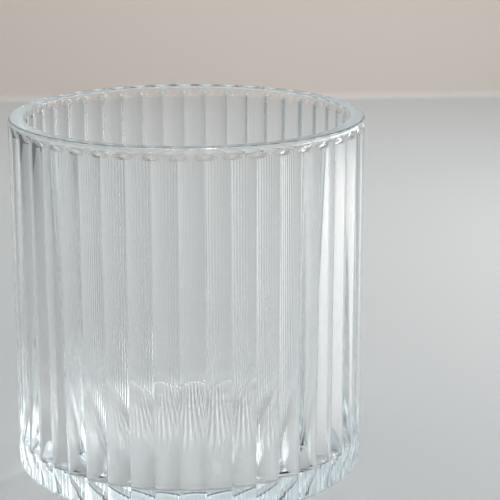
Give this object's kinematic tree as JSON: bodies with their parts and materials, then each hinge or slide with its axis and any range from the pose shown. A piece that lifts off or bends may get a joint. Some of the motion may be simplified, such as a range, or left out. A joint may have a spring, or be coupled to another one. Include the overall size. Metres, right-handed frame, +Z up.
{
  "type": "chai glass",
  "caption": "Straight-sided clear glass tumbler for tea, with upright ribs around the wall, a plain rim and a flat base.",
  "frame": {"origin": "middle of the foot, on the surface that the glass stands on", "axes": "+Z up along the axis of the glass; one rib crest faces -Y"},
  "size_m": [0.08, 0.08, 0.081],
  "materials": {
    "clear_glass": "clear pressed soda-lime glass, fire polished"
  },
  "bodies": {
    "root": {"tumbler": "clear_glass"}
  },
  "joints": []
}
